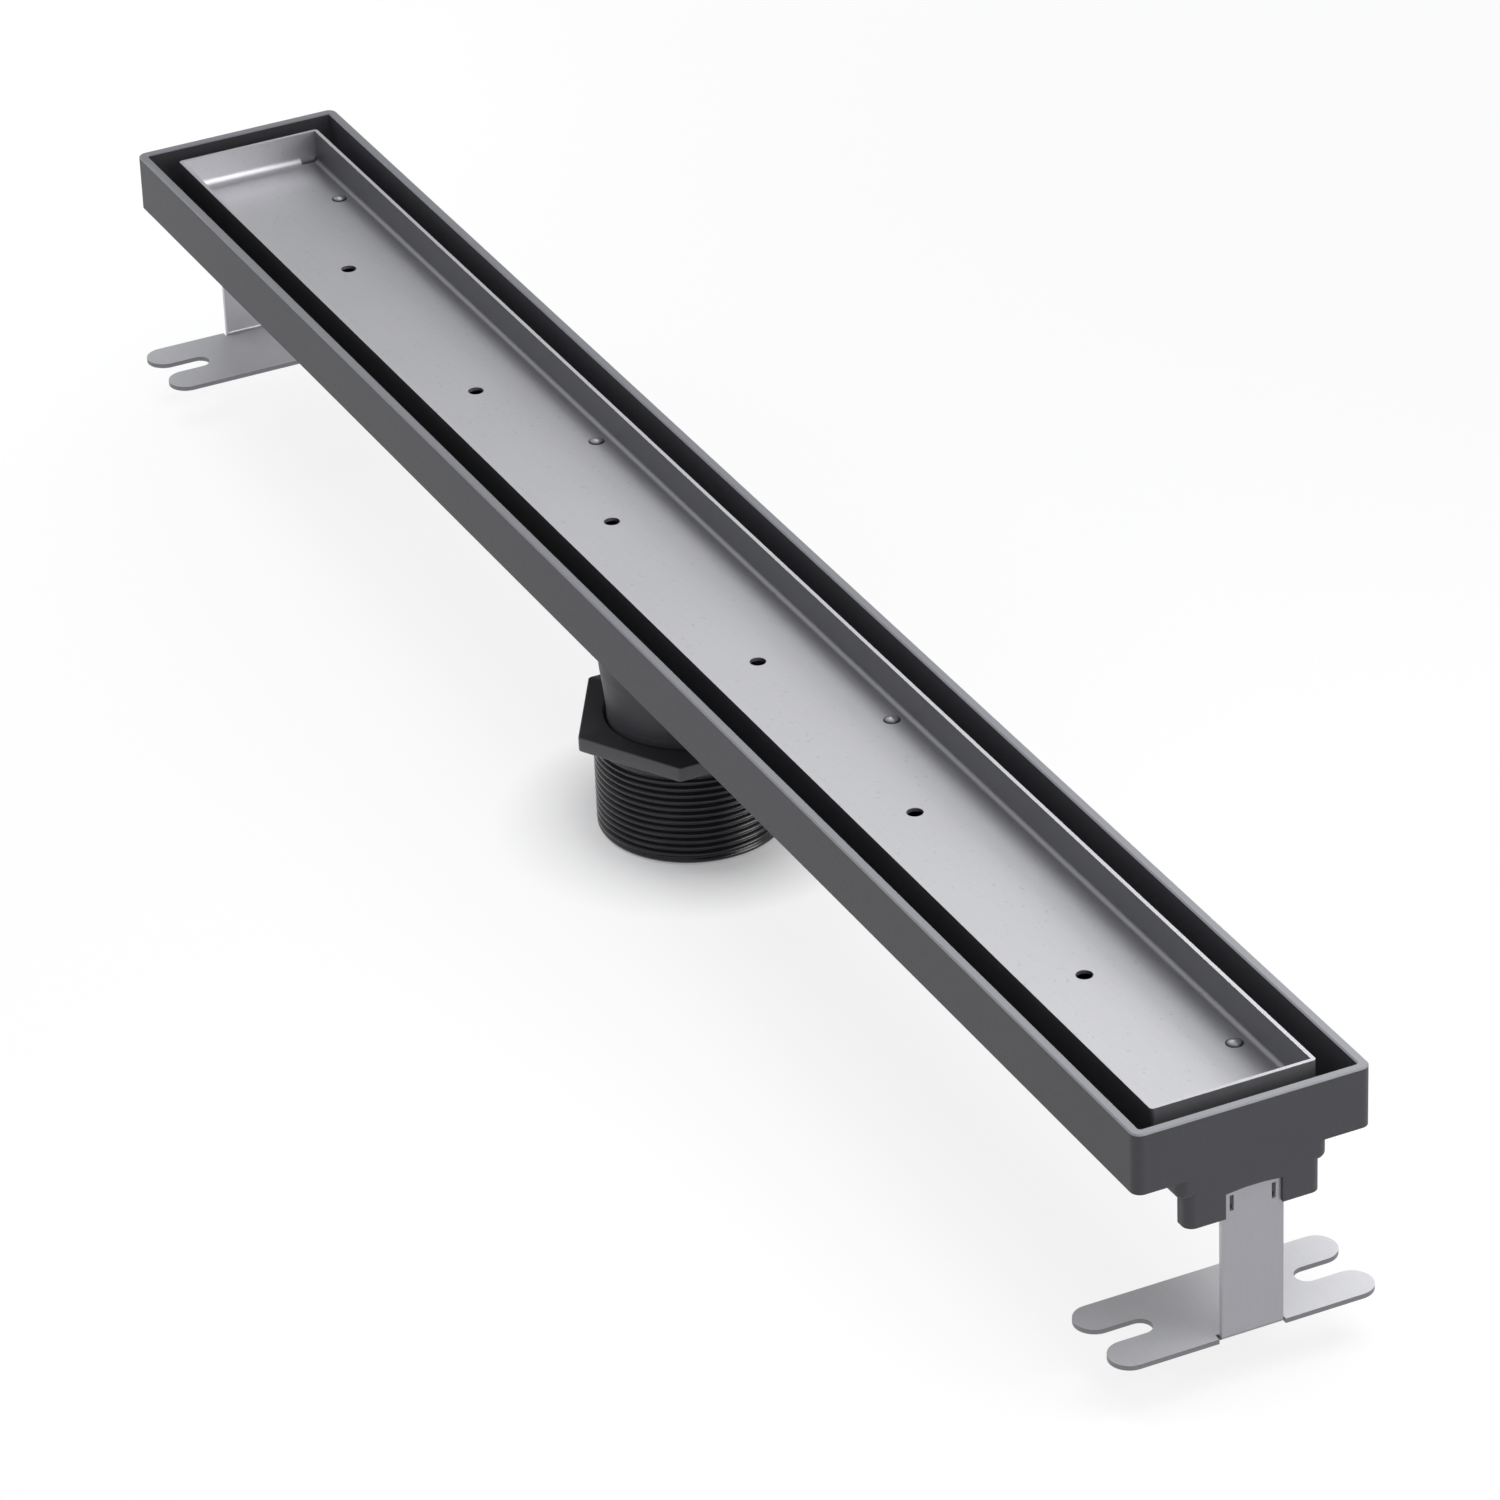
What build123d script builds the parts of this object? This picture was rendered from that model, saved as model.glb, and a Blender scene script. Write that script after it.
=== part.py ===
from build123d import *
import os

# A linear shower drain that takes a strip of floor tile.
# Millimetres. X runs along the drain, Y across it and Z up. The origin is the centre
# of the outlet's open lower end, which is the lowest point of the drain.

# Overall size
length = 700.0
width = 72.5
height = 91.0  # open end of the outlet to the top of the rim

# Moulded channel: rim, ledge and trough. A drop is measured down from the rim's top.
rim_wall = 2.9
rim_depth = 19.0
rim_corner = 3.0
rim_inner_corner = 0.8
rim_edge_bevel = 0.4
ledge_thickness = 3.0
ledge_width = 12.95  # rim's inside to the trough's hollow
trough_wall = 2.5
trough_end_drop = 25.4
trough_outlet_drop = 35.0
trough_edge_round = 2.2
trough_inner_round = 1.5
end_wall = 5.3
rib_thickness = 2.0
rib_pitch = 85.0
ribs_per_half = 3
rib_rim_inset = 2.0

# Sump and outlet neck, moulded with the channel
neck_outer_diameter = 50.8
neck_wall = 2.4
neck_flare = 1.6  # the sump's radius less the neck's
neck_flare_height = 14.0
sump_wall = 2.4
seat_depth = 1.0  # the strainer's seat, below the trough's floor at the outlet

# Threaded adapter on the neck
flange_flats = 65.0
flange_thickness = 5.0
flange_corner = 1.5
flange_chamfer = 0.5
barrel_length = 33.5
thread_diameter = 59.6
barrel_chamfer = 1.2
socket_depth = 22.0
socket_clearance = 0.1
mouth_chamfer = 1.1

# Folded tray for the tile
tray_gap = 8.0  # open water gap between the rim and the tray
tray_sheet = 1.2
tray_drop = 0.8
tray_floor_drop = 11.7
tray_side_bend = 1.5  # inside radius, as for the other bends
tray_end_bend = 2.8
tray_corner_round = 1.1
tray_slit = 0.9
tray_slit_length = 6.0
drain_hole_diameter = 5.0
drain_hole_inset = 84.1  # last hole's centre to the tray's end
drain_hole_count = 6

# Folded supports that stand on the ledge, and the studs that hold the tray on them
support_sheet = 1.2
support_width = 18.0
support_bend = 0.5
support_bearing = 3.0  # how far onto the ledge a support reaches
support_count = 4
support_inset = 33.1  # last support's middle to the tray's end
stud_inset = 3.5  # stud's axis to the inside of the support's leg
stud_shank_diameter = 3.0
stud_head_diameter = 5.2
stud_head_height = 0.8

# Hair strainer in the sump
strainer_sheet = 1.0
strainer_clearance = 0.3
cup_clearance = 2.0
cup_depth = 18.0
cup_slot_width = 2.4
cup_slot_height = 10.0
cup_slot_count = 8
base_slot_length = 13.0
base_slot_ring = 22.0
base_slot_count = 6

# Folded feet, snapped into pockets in the end walls
foot_sheet = 1.5
foot_drop = 75.2
foot_width = 81.6
foot_depth = 32.0
foot_slot_width = 7.3
foot_slot_length = 18.4
foot_bend = 0.8
foot_strip_width = 19.0
foot_relief = 0.8
snap_offset = 6.45
snap_width = 1.2
snap_height = 5.0
snap_drop = 28.4
snap_clearance = 0.15
lug_drop = 34.8
pocket_skin = 0.9
pocket_clearance = 0.1
pocket_drop = 21.0
notch_width = 17.5
notch_drop = 26.9
notch_arch = 0.6

# Heights
rim_top = height
ledge_bottom = rim_top - rim_depth
ledge_top = ledge_bottom + ledge_thickness
trough_end_z = rim_top - trough_end_drop
trough_outlet_z = rim_top - trough_outlet_drop
floor_outlet_z = trough_outlet_z + trough_wall
lug_z = rim_top - lug_drop
seat_z = floor_outlet_z - seat_depth
flare_top_z = trough_outlet_z - seat_depth
flange_top = barrel_length + flange_thickness
neck_end_z = flange_top - socket_depth
tray_top = rim_top - tray_drop
tray_floor = rim_top - tray_floor_drop
tray_bottom = tray_floor - tray_sheet
support_bottom = tray_bottom - support_sheet
foot_bottom = rim_top - foot_drop
snap_top = rim_top - snap_drop
pocket_top = rim_top - pocket_drop

# Plan sizes
half_length = length / 2
cavity_half_length = half_length - end_wall
cavity_half = width / 2 - rim_wall - ledge_width
trough_half = cavity_half + trough_wall
lug_half = trough_half - trough_edge_round
neck_r = neck_outer_diameter / 2
neck_bore_r = neck_r - neck_wall
sump_r = neck_r + neck_flare
sump_inner_r = sump_r - sump_wall
pocket_outer_x = half_length - pocket_skin
foot_outer_x = pocket_outer_x - pocket_clearance
foot_inner_x = foot_outer_x - foot_sheet
pocket_inner_x = foot_inner_x - pocket_clearance
tray_length = length - 2 * (rim_wall + tray_gap)
tray_width = width - 2 * (rim_wall + tray_gap)
drain_hole_pitch = (tray_length - 2 * drain_hole_inset) / (drain_hole_count - 1)
support_pitch = (tray_length - 2 * support_inset) / (support_count - 1)
support_span = 2 * (cavity_half + support_bearing)
stud_across = support_span - 2 * (support_sheet + stud_inset)


def trough_outline(reach, end_z, centre_z):
    """Side outline of the trough: its floor falls from both ends to the outlet."""
    return [
        (-reach, ledge_top),
        (-reach, end_z),
        (0, centre_z),
        (reach, end_z),
        (reach, ledge_top),
    ]


def trough_underside(x):
    """Height of the trough's underside at a distance x from the outlet."""
    return trough_outlet_z + (trough_end_z - trough_outlet_z) * abs(x) / half_length


# The channel is one moulding: rim, ledge, sloping trough, sump, neck and foot pockets
with BuildPart() as channel_body:
    with BuildSketch(Plane.XY.offset(ledge_bottom)):
        RectangleRounded(length, width, rim_corner)
    extrude(amount=rim_depth)

    # Outside of the trough
    with BuildSketch(Plane.XZ):
        with BuildLine():
            Polyline(*trough_outline(half_length, trough_end_z, trough_outlet_z), close=True)
        make_face()
    extrude(amount=trough_half, both=True)
    uprights = channel_body.edges().filter_by(Axis.Z).group_by(Axis.Z)[0]
    fillet(uprights, rim_corner)

    # Outside of the sump and the neck
    with BuildSketch(Plane.XZ):
        with BuildLine():
            Polyline(
                (0, ledge_top),
                (sump_r, ledge_top),
                (sump_r, flare_top_z),
                (neck_r, flare_top_z - neck_flare_height),
                (neck_r, neck_end_z),
                (0, neck_end_z),
                close=True,
            )
        make_face()
    revolve(axis=Axis.Z)
    keel = channel_body.edges().filter_by(
        lambda e: e.length > half_length / 2
        and abs(e.center().Y) < trough_half + 0.1
        and e.center().Z < ledge_bottom - trough_edge_round
    )
    fillet(keel, trough_edge_round)

    # Lugs that carry the end walls down beside the feet
    for side in (-1, 1):
        with BuildSketch(Plane.XY.offset(lug_z)):
            with Locations((side * cavity_half_length, 0)):
                RectangleRounded(2 * end_wall, 2 * lug_half, rim_corner)
            with Locations((side * (cavity_half_length - end_wall / 2), 0)):
                Rectangle(end_wall, 2 * lug_half, mode=Mode.SUBTRACT)
        extrude(amount=ledge_bottom - lug_z)

    # Ribs under the ledge
    for step in range(1, ribs_per_half + 1):
        rib_low = trough_underside(step * rib_pitch) + 2 * trough_edge_round
        for x in (-step * rib_pitch, step * rib_pitch):
            for side in (-1, 1):
                with BuildSketch(Plane.YZ.offset(x)):
                    with BuildLine():
                        Polyline(
                            (side * cavity_half, ledge_bottom),
                            (side * (width / 2 - rib_rim_inset), ledge_bottom),
                            (side * trough_half, rib_low),
                            (side * cavity_half, rib_low),
                            close=True,
                        )
                    make_face()
                extrude(amount=rib_thickness / 2, both=True)

    # Room inside the rim, and the trough's own hollow
    with BuildSketch(Plane.XY.offset(ledge_top)):
        RectangleRounded(length - 2 * rim_wall, width - 2 * rim_wall, rim_inner_corner)
    extrude(amount=rim_depth, mode=Mode.SUBTRACT)
    trough_floor = trough_outline(
        cavity_half_length, trough_end_z + trough_wall, floor_outlet_z
    )
    with BuildSketch(Plane.XZ):
        with BuildLine():
            Polyline(*trough_floor, close=True)
        make_face()
    extrude(amount=cavity_half, both=True, mode=Mode.SUBTRACT)

    # Strainer seat and bore
    with BuildSketch(Plane.XZ):
        with BuildLine():
            Polyline(
                (0, rim_top),
                (sump_inner_r, rim_top),
                (sump_inner_r, seat_z),
                (neck_bore_r, seat_z),
                (neck_bore_r, neck_end_z),
                (0, neck_end_z),
                close=True,
            )
        make_face()
    revolve(axis=Axis.Z, mode=Mode.SUBTRACT)
    gutter = channel_body.edges().filter_by(
        lambda e: e.length > half_length / 2
        and abs(abs(e.center().Y) - cavity_half) < 0.01
        and e.center().Z < ledge_bottom
    )
    fillet(gutter, trough_inner_round)

    for side in (-1, 1):
        # Pocket for the foot's strip, open below
        with BuildSketch(Plane.XY.offset(lug_z)):
            with Locations((side * (pocket_inner_x + pocket_outer_x) / 2, 0)):
                Rectangle(
                    pocket_outer_x - pocket_inner_x,
                    foot_strip_width + 2 * pocket_clearance,
                )
        extrude(amount=pocket_top - lug_z, mode=Mode.SUBTRACT)

        # Arched notch in the skin in front of the pocket
        with BuildSketch(Plane.YZ.offset(side * (half_length - pocket_skin / 2))):
            with BuildLine():
                Polyline(
                    (-notch_width / 2, rim_top - notch_drop),
                    (-notch_width / 2, lug_z),
                    (notch_width / 2, lug_z),
                    (notch_width / 2, rim_top - notch_drop),
                )
                ThreePointArc(
                    (notch_width / 2, rim_top - notch_drop),
                    (0, rim_top - notch_drop + notch_arch),
                    (-notch_width / 2, rim_top - notch_drop),
                )
            make_face()
        extrude(amount=pocket_skin / 2, both=True, mode=Mode.SUBTRACT)

        # Snap wedges that catch in the strip's slots
        for y in (-snap_offset, snap_offset):
            with BuildSketch(Plane.XZ.offset(-y)):
                with BuildLine():
                    Polyline(
                        (side * (pocket_inner_x - pocket_skin), snap_top - snap_clearance),
                        (side * foot_outer_x, snap_top - snap_clearance),
                        (side * foot_outer_x, snap_top - snap_height / 2),
                        (side * pocket_inner_x, snap_top - snap_height + snap_clearance),
                        (side * (pocket_inner_x - pocket_skin), snap_top - snap_height),
                        close=True,
                    )
                make_face()
            extrude(amount=snap_width / 2 - snap_clearance, both=True)

    chamfer(channel_body.faces().sort_by(Axis.Z)[-1].edges(), rim_edge_bevel)

# The threaded adapter: a hexagon flange over a barrel, with a socket for the neck.
# Its thread is a fine one, and the barrel here is as wide as the thread's crests.
with BuildPart() as threaded_adapter:
    with BuildSketch(Plane.XY.offset(barrel_length)):
        RegularPolygon(flange_flats / 2, 6, major_radius=False, rotation=30)
        fillet(vertices(), flange_corner)
    extrude(amount=flange_thickness)
    chamfer(threaded_adapter.faces().sort_by(Axis.Z)[-1].edges(), flange_chamfer)
    with BuildSketch(Plane.XY):
        Circle(thread_diameter / 2)
    extrude(amount=barrel_length)
    chamfer(threaded_adapter.faces().sort_by(Axis.Z)[0].edges(), barrel_chamfer)
    with BuildSketch(Plane.XY):
        Circle(neck_bore_r)
    extrude(amount=flange_top, mode=Mode.SUBTRACT)
    with BuildSketch(Plane.XY.offset(neck_end_z)):
        Circle(neck_r + socket_clearance)
    extrude(amount=socket_depth, mode=Mode.SUBTRACT)
    mouth = threaded_adapter.faces().sort_by(Axis.Z)[-1].edges().filter_by(GeomType.CIRCLE)
    chamfer(mouth.sort_by(SortBy.RADIUS)[-1], mouth_chamfer)

# The tray is one folded sheet: floor, two long walls, two end flaps and corner slits
with BuildPart() as tile_tray:
    inner_length = tray_length - 2 * tray_sheet
    inner_half = tray_width / 2 - tray_sheet
    wall_middle = (tray_top + tray_bottom) / 2
    side_outer_bend = tray_side_bend + tray_sheet
    end_outer_bend = tray_end_bend + tray_sheet
    flap_half = inner_half - tray_slit_length

    with BuildSketch(Plane.YZ):
        with Locations((0, wall_middle)):
            Rectangle(tray_width, tray_top - tray_bottom)
    extrude(amount=inner_length / 2, both=True)
    fillet(tile_tray.edges().filter_by(Axis.X).group_by(Axis.Z)[0], side_outer_bend)
    with BuildSketch(Plane.YZ):
        with Locations((0, wall_middle + tray_sheet)):
            Rectangle(2 * inner_half, tray_top - tray_bottom)
    extrude(amount=inner_length / 2, both=True, mode=Mode.SUBTRACT)
    folds = tile_tray.edges().filter_by(Axis.X).filter_by(
        lambda e: abs(e.center().Z - tray_floor) < 0.01 and abs(e.center().Y) > flap_half
    )
    fillet(folds, tray_side_bend)

    for side in (-1, 1):
        # The end flap turns up from the floor between the slits
        with BuildSketch(Plane.XY.offset(tray_bottom)):
            with Locations((side * (tray_length - end_outer_bend) / 2, 0)):
                Rectangle(end_outer_bend, 2 * flap_half)
        extrude(amount=end_outer_bend, mode=Mode.SUBTRACT)
        out = side * tray_length / 2
        inside = side * (tray_length / 2 - tray_sheet)
        turn = side * (tray_length / 2 - end_outer_bend)
        lean = 0.5**0.5
        middle = side * (tray_length / 2 - end_outer_bend * (1 - lean))
        inner_middle = side * (tray_length / 2 - end_outer_bend + tray_end_bend * lean)
        with BuildSketch(Plane.XZ):
            with BuildLine():
                ThreePointArc(
                    (turn, tray_bottom),
                    (middle, tray_bottom + end_outer_bend * (1 - lean)),
                    (out, tray_bottom + end_outer_bend),
                )
                Polyline(
                    (out, tray_bottom + end_outer_bend),
                    (out, tray_top),
                    (inside, tray_top),
                    (inside, tray_floor + tray_end_bend),
                )
                ThreePointArc(
                    (inside, tray_floor + tray_end_bend),
                    (inner_middle, tray_floor + tray_end_bend * (1 - lean)),
                    (turn, tray_floor),
                )
                Line((turn, tray_floor), (turn, tray_bottom))
            make_face()
        extrude(amount=flap_half, both=True)

        # Beside the flap the end wall comes straight down, a slit away from the floor
        for flank in (-1, 1):
            with BuildSketch(Plane.YZ.offset(inside)):
                with Locations((flank * (flap_half + tray_width / 2) / 2, wall_middle)):
                    Rectangle(tray_width / 2 - flap_half, tray_top - tray_bottom)
            extrude(amount=side * tray_sheet)
            with BuildSketch(Plane.XY.offset(tray_bottom)):
                with Locations((inside - side * tray_slit / 2, flank * (flap_half + tray_width / 2) / 2)):
                    Rectangle(tray_slit, tray_width / 2 - flap_half)
            extrude(amount=side_outer_bend, mode=Mode.SUBTRACT)

    corners = tile_tray.edges().filter_by(Axis.Z).filter_by(
        lambda e: abs(e.center().X) > tray_length / 2 - 0.01
        and abs(e.center().Y) > tray_width / 2 - 0.01
    )
    fillet(corners, tray_corner_round)

    # Drain holes on the centre line, the studs' holes beside it
    with BuildSketch(Plane.XY.offset(tray_bottom)):
        with GridLocations(drain_hole_pitch, 0, drain_hole_count, 1):
            Circle(drain_hole_diameter / 2)
        with GridLocations(support_pitch, stud_across, support_count, 2):
            Circle(stud_shank_diameter / 2)
    extrude(amount=tray_sheet, mode=Mode.SUBTRACT)

# One support: a strip folded down at both ends
with BuildPart() as support:
    with BuildSketch(Plane.YZ):
        with Locations((0, (tray_bottom + ledge_top) / 2)):
            Rectangle(support_span, tray_bottom - ledge_top)
    extrude(amount=support_width / 2, both=True)
    fillet(
        support.edges().filter_by(Axis.X).group_by(Axis.Z)[-1],
        support_bend + support_sheet,
    )
    with BuildSketch(Plane.YZ):
        with Locations((0, (support_bottom + ledge_top) / 2)):
            Rectangle(support_span - 2 * support_sheet, support_bottom - ledge_top)
    extrude(amount=support_width / 2, both=True, mode=Mode.SUBTRACT)
    inner_folds = support.edges().filter_by(Axis.X).filter_by(
        lambda e: abs(e.center().Z - support_bottom) < 0.01
    )
    fillet(inner_folds, support_bend)

# One stud: a domed head on the tray's floor, and a shank welded to the support's top
with BuildPart() as stud:
    head_r = stud_head_diameter / 2
    dome_r = (head_r**2 + stud_head_height**2) / (2 * stud_head_height)
    with Locations((0, 0, tray_floor + stud_head_height - dome_r)):
        Sphere(dome_r)
    split(bisect_by=Plane.XY.offset(tray_floor), keep=Keep.TOP)
    with BuildSketch(Plane.XY.offset(tray_bottom)):
        Circle(stud_shank_diameter / 2)
    extrude(amount=tray_sheet)

with BuildPart() as support_studs:
    with GridLocations(support_pitch, stud_across, support_count, 2):
        add(stud.part)

# The hair strainer: a flanged cup that drops into the sump
with BuildPart() as hair_strainer:
    cup_r = neck_bore_r - cup_clearance
    cup_bottom = seat_z - cup_depth
    with BuildSketch(Plane.XZ):
        with BuildLine():
            Polyline(
                (0, cup_bottom),
                (cup_r, cup_bottom),
                (cup_r, seat_z),
                (sump_inner_r - strainer_clearance, seat_z),
                (sump_inner_r - strainer_clearance, seat_z + strainer_sheet),
                (cup_r - strainer_sheet, seat_z + strainer_sheet),
                (cup_r - strainer_sheet, cup_bottom + strainer_sheet),
                (0, cup_bottom + strainer_sheet),
                close=True,
            )
        make_face()
    revolve(axis=Axis.Z)
    with BuildSketch(Plane.XY.offset(seat_z - (cup_depth + cup_slot_height) / 2)):
        with PolarLocations(cup_r, cup_slot_count):
            Rectangle(4 * strainer_sheet, cup_slot_width)
    extrude(amount=cup_slot_height, mode=Mode.SUBTRACT)
    with BuildSketch(Plane.XY.offset(cup_bottom)):
        with PolarLocations(base_slot_ring / 2, base_slot_count):
            Rectangle(base_slot_length, cup_slot_width)
    extrude(amount=strainer_sheet, mode=Mode.SUBTRACT)

# A foot is one folded sheet: a plate with four prongs and a strip that stands up
# from its outer edge to the top of the pocket, which bears on it
with BuildPart() as foot_right:
    prong = (foot_depth - foot_slot_width) / 2
    plate_x = foot_outer_x - foot_depth / 2
    root_y = foot_width / 2 - foot_slot_length + foot_slot_width / 2
    outer_bend = foot_bend + foot_sheet
    bend_x = foot_outer_x - outer_bend
    strip_half = foot_strip_width / 2

    with BuildSketch(Plane.XY.offset(foot_bottom)):
        with Locations((plate_x, 0)):
            with GridLocations(foot_depth - prong, 0, 2, 1):
                SlotOverall(foot_width, prong, rotation=90)
            Rectangle(foot_depth, 2 * root_y)
            with GridLocations(0, 2 * root_y, 1, 2):
                Circle(foot_slot_width / 2, mode=Mode.SUBTRACT)
        with Locations((foot_outer_x - outer_bend / 2, 0)):
            Rectangle(outer_bend, foot_strip_width + 2 * foot_relief, mode=Mode.SUBTRACT)
    extrude(amount=foot_sheet)

    lean = 0.5**0.5
    with BuildSketch(Plane.XZ):
        with BuildLine():
            Polyline(
                (bend_x, foot_bottom + foot_sheet),
                (bend_x, foot_bottom),
            )
            ThreePointArc(
                (bend_x, foot_bottom),
                (bend_x + outer_bend * lean, foot_bottom + outer_bend * (1 - lean)),
                (foot_outer_x, foot_bottom + outer_bend),
            )
            Polyline(
                (foot_outer_x, foot_bottom + outer_bend),
                (foot_outer_x, pocket_top),
                (foot_inner_x, pocket_top),
                (foot_inner_x, foot_bottom + outer_bend),
            )
            ThreePointArc(
                (foot_inner_x, foot_bottom + outer_bend),
                (bend_x + foot_bend * lean, foot_bottom + outer_bend - foot_bend * lean),
                (bend_x, foot_bottom + foot_sheet),
            )
        make_face()
    extrude(amount=strip_half, both=True)

    with BuildSketch(Plane.YZ.offset(foot_inner_x)):
        with Locations((0, snap_top - snap_height / 2)):
            with GridLocations(2 * snap_offset, 0, 2, 1):
                Rectangle(snap_width, snap_height)
    extrude(amount=foot_sheet, mode=Mode.SUBTRACT)

with BuildPart() as foot_left:
    mirror(foot_right.part, about=Plane.YZ)

pieces = {
    "channel_body": channel_body,
    "threaded_adapter": threaded_adapter,
    "hair_strainer": hair_strainer,
    "tile_tray": tile_tray,
    "support_studs": support_studs,
    "foot_left": foot_left,
    "foot_right": foot_right,
}
for number, spot in enumerate(GridLocations(support_pitch, 0, support_count, 1), start=1):
    with BuildPart() as tray_support:
        with Locations(spot):
            add(support.part)
    pieces[f"tray_support_{number}"] = tray_support

os.makedirs("parts", exist_ok=True)
for name, piece in pieces.items():
    piece.part.label = name
    export_step(piece.part, f"parts/{name}.step")
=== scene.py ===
"""A linear shower drain for a strip of floor tile, in a plain white studio."""
import math

import bmesh
import bpy
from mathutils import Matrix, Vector


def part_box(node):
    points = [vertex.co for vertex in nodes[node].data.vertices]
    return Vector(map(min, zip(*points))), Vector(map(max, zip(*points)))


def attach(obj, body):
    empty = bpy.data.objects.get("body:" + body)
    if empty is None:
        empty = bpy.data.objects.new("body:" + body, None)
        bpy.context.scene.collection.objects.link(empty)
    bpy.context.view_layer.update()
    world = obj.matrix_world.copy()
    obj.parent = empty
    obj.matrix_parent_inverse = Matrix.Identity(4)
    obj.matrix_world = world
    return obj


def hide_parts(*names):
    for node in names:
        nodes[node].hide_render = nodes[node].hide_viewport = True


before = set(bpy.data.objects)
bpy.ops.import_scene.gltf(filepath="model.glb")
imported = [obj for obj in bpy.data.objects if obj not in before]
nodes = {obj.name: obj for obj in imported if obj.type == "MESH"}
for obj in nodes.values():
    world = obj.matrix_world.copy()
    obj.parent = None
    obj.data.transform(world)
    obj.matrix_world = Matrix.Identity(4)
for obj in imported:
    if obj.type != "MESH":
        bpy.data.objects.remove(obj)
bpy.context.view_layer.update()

MM = 0.001
CLOSE = 0.05 * MM  # how near a face or a point is to a size to count as on it

# Camera, as the photograph was taken
CAMERA_PLACE = (1.78659, -0.81621, 1.14974)
CAMERA_TILT = 60.129  # degrees about X, Y and Z
CAMERA_ROLL = 1.959
CAMERA_TURN = 63.790
CAMERA_LENS = 176.83
CAMERA_SENSOR = 36.0

# Studio: the sines of elevation where the white wall turns into the ceiling
CEILING = "#b4b5b8"
WALL_TOP = 0.2
CEILING_START = 0.42
FLOOR_HALF = 8.0
# Share of the floor that is white whatever falls on it: round the outlet, about the
# drain, and beyond the drain's shadow
OUTLET_GLOW = 0.2
FLOOR_GLOW = 0.8
FAR_GLOW = 1.0
OUTLET_SHADOW = (33 * MM, 62 * MM)  # from the drain's middle, where it starts to fade and ends
DRAIN_SHADOW = (450 * MM, 1100 * MM)

# Sizes that the finishes follow
RIM_WALL = 2.9 * MM
# Down to this depth the inside of the rim is painted near black, a painted shade
RIM_HOLLOW = 16.5 * MM  # below the rim's top, just under the ledge
# Depth of the band at the rim's top that is painted paler, a painted highlight
RIM_TOP_HIGHLIGHT = 0.5 * MM
FOOT_SHEET = 1.5 * MM
STUD_HEAD = 0.8 * MM

# Threaded adapter
HEX_FLATS = 65.0 * MM
HEX_CORNER = 1.5 * MM
FLANGE_THICKNESS = 5.0 * MM
FLANGE_EDGE = 0.5 * MM
THREAD_PITCH = 25.4 / 11 * MM
THREAD_DEPTH = 1.3 * MM
THREAD_ROOT = 0.08  # shares of half a pitch that the flat root and the flank take
THREAD_FLANK = 0.67
THREAD_START = 0.9 * MM
THREAD_END = 31.5 * MM
RINGS_PER_TURN = 10
BARREL_RADIUS = 29.8 * MM
BORE_RADIUS = 23.0 * MM
SOCKET_RADIUS = 25.5 * MM
SOCKET_FLOOR = 16.5 * MM
MOUTH_BEVEL = 1.1 * MM
BARREL_BEVEL = 1.2 * MM
SHARP_ANGLE = 35  # degrees between faces, from which an edge shows


def linear(hex_colour):
    """An sRGB hex colour as linear RGBA."""
    channels = [int(hex_colour[i : i + 2], 16) / 255 for i in (1, 3, 5)]
    curve = [c / 12.92 if c <= 0.04045 else ((c + 0.055) / 1.055) ** 2.4 for c in channels]
    return (*curve, 1.0)


def add_node(tree, kind, settings=None, inputs=None):
    """A node in a tree, with its settings, and with values or links on its inputs.

    An input may be a value, a socket, or a node, which gives its first live output.
    """
    made = tree.nodes.new(kind)
    for name, value in (settings or {}).items():
        setattr(made, name, value)
    for socket, value in (inputs or {}).items():
        if isinstance(value, bpy.types.Node):
            value = next(output for output in value.outputs if output.enabled)
        if isinstance(value, bpy.types.NodeSocket):
            tree.links.new(value, made.inputs[socket])
        else:
            made.inputs[socket].default_value = value
    return made


def new_material(name):
    """A material with its Principled shader and output, and its piece's own coordinates."""
    material = bpy.data.materials.new(name)
    material.use_nodes = True
    tree = material.node_tree
    tree.nodes.clear()
    shader = add_node(tree, "ShaderNodeBsdfPrincipled")
    add_node(tree, "ShaderNodeOutputMaterial", inputs={"Surface": shader})
    place = add_node(tree, "ShaderNodeTexCoord").outputs["Object"]
    return material, tree, shader, place


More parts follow.
